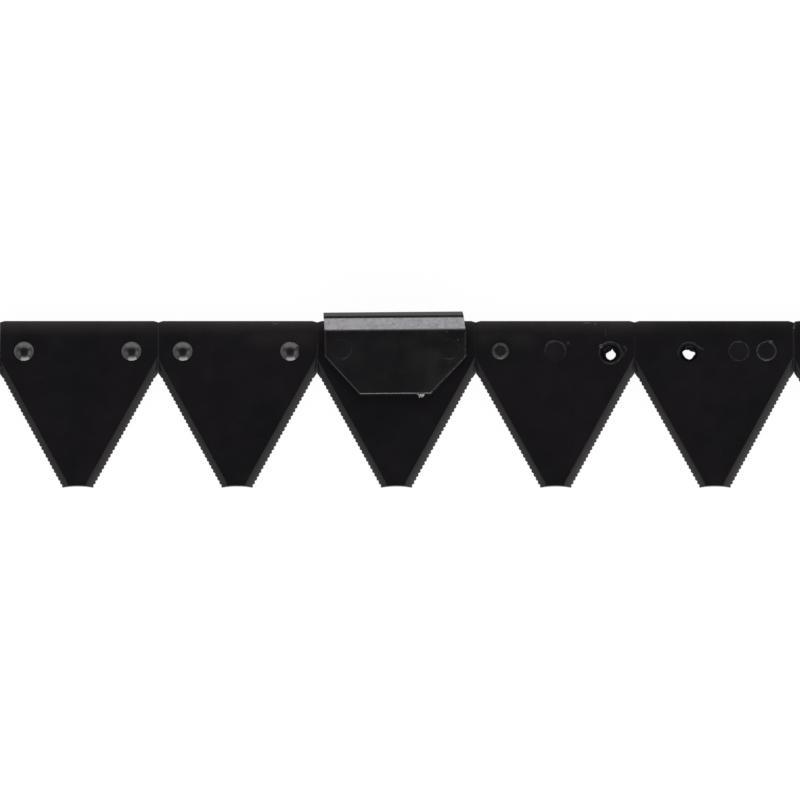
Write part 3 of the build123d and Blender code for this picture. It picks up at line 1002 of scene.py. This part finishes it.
def skin_ring(shape, hole_x, tear, seed, share, lift):
    """One ring of corners, a share of the way from the torn edge to the wall."""
    ring = []
    for step in range(SKIN_AROUND):
        bearing = 360 * step / SKIN_AROUND
        inner = min(tear_distance(tear, bearing), HOLE_RADIUS - SKIN_MARGIN)
        reach = inner + (HOLE_RADIUS - inner) * share
        x = math.cos(math.radians(bearing)) * reach
        y = math.sin(math.radians(bearing)) * reach
        crumple = SKIN_CRUMPLE * noise.noise(Vector((x * 1.1, y * 1.1, seed)))
        sag = SKIN_SAG * (HOLE_RADIUS - reach) / HOLE_RADIUS
        corner = Vector((hole_x + x, HOLE_LINE + y, SKIN_LEVEL + crumple - sag + lift))
        ring.append(shape.verts.new(corner * MM))
    return ring


def paint_skin(name, hole_x, tear, seed):
    shape = bmesh.new()
    upper, lower = (
        [skin_ring(shape, hole_x, tear, seed, number / SKIN_ACROSS, lift)
         for number in range(SKIN_ACROSS + 1)]
        for lift in (SKIN_THICKNESS, 0)
    )
    for step in range(SKIN_AROUND):
        after = (step + 1) % SKIN_AROUND
        for near, far in zip(upper, upper[1:]):
            shape.faces.new((near[step], far[step], far[after], near[after]))
        for near, far in zip(lower, lower[1:]):
            shape.faces.new((near[after], far[after], far[step], near[step]))
        shape.faces.new((upper[0][step], upper[0][after], lower[0][after], lower[0][step]))
        shape.faces.new((upper[-1][after], upper[-1][step], lower[-1][step], lower[-1][after]))
    add_piece(name, shape, pit_paint)


paint_skin("first_hole_skin", FIRST_HOLE_X, FIRST_HOLE_TEAR, 3.1)
paint_skin("second_hole_skin", SECOND_HOLE_X, SECOND_HOLE_TEAR, 8.4)
print("skins hang in both holes")

# %% [markdown]
# Behind the skins, the sloping wall of each hole is caked with matt black. The CAD wall
# could take that paint only together with the whole section, so a thin lining follows the
# countersink down and then the bore. It is made with the ring maker.

# %% Linings of the bolt holes
LINING = [
    (5.06, -0.03), (3.95, -1.97), (3.54, -1.98), (3.54, -7.9),
    (3.46, -7.9), (3.46, -1.86), (3.86, -1.84), (4.90, -0.03),
]

for hole, hole_x in (("first", FIRST_HOLE_X), ("second", SECOND_HOLE_X)):
    ring_bead(f"{hole}_hole_lining", hole_x, 0.0, LINING, 1.0, pit_paint,
              y=HOLE_LINE, uneven=0.0)
print("both holes lined")

# %% [markdown]
# ## Lips round the bolt holes
#
# Round the rim of each hole the paint has dried to a low uneven lip, and the torn edge of the
# skin, which curls up at the rear, catches a thin line of light. Lips and curls are grey, as a
# painted highlight of that light. The rim could be bumped, but a lip that stands up is seen
# from the side as well. All four are rings, and only their outlines and bearings differ.

# %% Paint lips
CURL_LEVEL = 7.0
CURLED_EDGE = round_outline(0.2, 0.16)

# painted highlight: grey lips and curls for the light on the rims
ring_bead("first_hole_lip", FIRST_HOLE_X, 5.35, round_outline(0.32, 0.17), 1.7,
          dust_and_highlight_paint, y=HOLE_LINE, uneven=0.5)
ring_bead("second_hole_lip", SECOND_HOLE_X, 5.15, round_outline(0.28, 0.13), 6.2,
          dust_and_highlight_paint, y=HOLE_LINE, uneven=0.5, bearings=(10, 215))
ring_bead("first_hole_curl", FIRST_HOLE_X - 0.5, 3.1, CURLED_EDGE, 2.9,
          dust_and_highlight_paint, y=HOLE_LINE, level=CURL_LEVEL, bearings=(75, 160))
ring_bead("second_hole_curl", SECOND_HOLE_X, 3.5, CURLED_EDGE, 5.5,
          dust_and_highlight_paint, y=HOLE_LINE, level=CURL_LEVEL, bearings=(50, 125))
print("lips round both holes")

# %% [markdown]
# ## Drops, smears and nibs
#
# The rest of the dried paint: specks on the plate, smears beside the bolt holes, a run
# above the first one, bare spots on the rear edge, a wedge in the last seam and the nib of
# the last ring. They could be scattered by chance, but each has its own place in the
# picture, so they stand in a table.

# %% Drops and smears
REAR_EDGE, REAR_SLOPE = 7.8, 7.85
DROPS = [
    # name, centre, size, turn, seed, paint
    ("plate_speck_right", (-8.6, 4.5, PLATE_TOP), (1.0, 0.7, 0.22), 60, 5.0, rivet_paint),
    ("plate_speck_fold", (-13.9, 8.7, PLATE_TOP), (0.9, 0.6, 0.24), 20, 6.0, rivet_paint),
    ("first_hole_blob", (60.1, 2.5, SECTION_TOP), (2.0, 1.6, 0.42), 40, 1.0, rivet_paint),
    ("first_hole_smear", (71.7, 1.5, SECTION_TOP), (1.0, 3.4, 0.16), 22, 7.0, dust_and_highlight_paint),
    ("first_hole_crumb", (70.7, -1.6, SECTION_TOP), (0.9, 2.6, 0.14), -24, 8.1, dust_and_highlight_paint),
    ("first_hole_tail", (69.3, -3.4, SECTION_TOP), (0.8, 2.4, 0.24), -38, 3.5, dust_and_highlight_paint),
    ("first_hole_run", (62.2, 8.9, SECTION_TOP), (0.6, 3.6, 0.12), 3, 4.0, dust_and_highlight_paint),
    ("second_hole_smear", (107.2, 1.9, SECTION_TOP), (3.9, 0.8, 0.24), -27, 9.0, dust_and_highlight_paint),
    ("middle_rivet_smudge", (44.2, 4.1, SECTION_TOP), (1.7, 1.4, 0.16), 30, 2.6, dust_and_highlight_paint),
    ("rear_spot_wide", (53.5, 13.9, REAR_EDGE), (4.3, 0.9, 0.26), 0, 15.3, wear_and_highlight_paint),
    ("rear_spot_small", (57.4, 13.3, REAR_SLOPE), (1.3, 1.9, 0.2), -20, 17.9, wear_and_highlight_paint),
    ("rear_spot_left", (-96.3, 13.3, REAR_SLOPE), (3.2, 1.1, 0.26), 3, 19.2, wear_and_highlight_paint),
    ("last_seam_wedge", (153.1, 12.8, REAR_SLOPE), (1.3, 4.4, 0.3), -15, 13.4, wear_and_highlight_paint),
    ("last_ring_nib", (140.9, 4.6, SECTION_TOP), (3.0, 2.2, 0.46), 0, 11.2, wear_and_highlight_paint),
]

for drop in DROPS:
    dried_drop(*drop, slot_name="guide_plate" if drop[0].startswith("plate") else "section")
print(len(DROPS), "drops and smears laid")
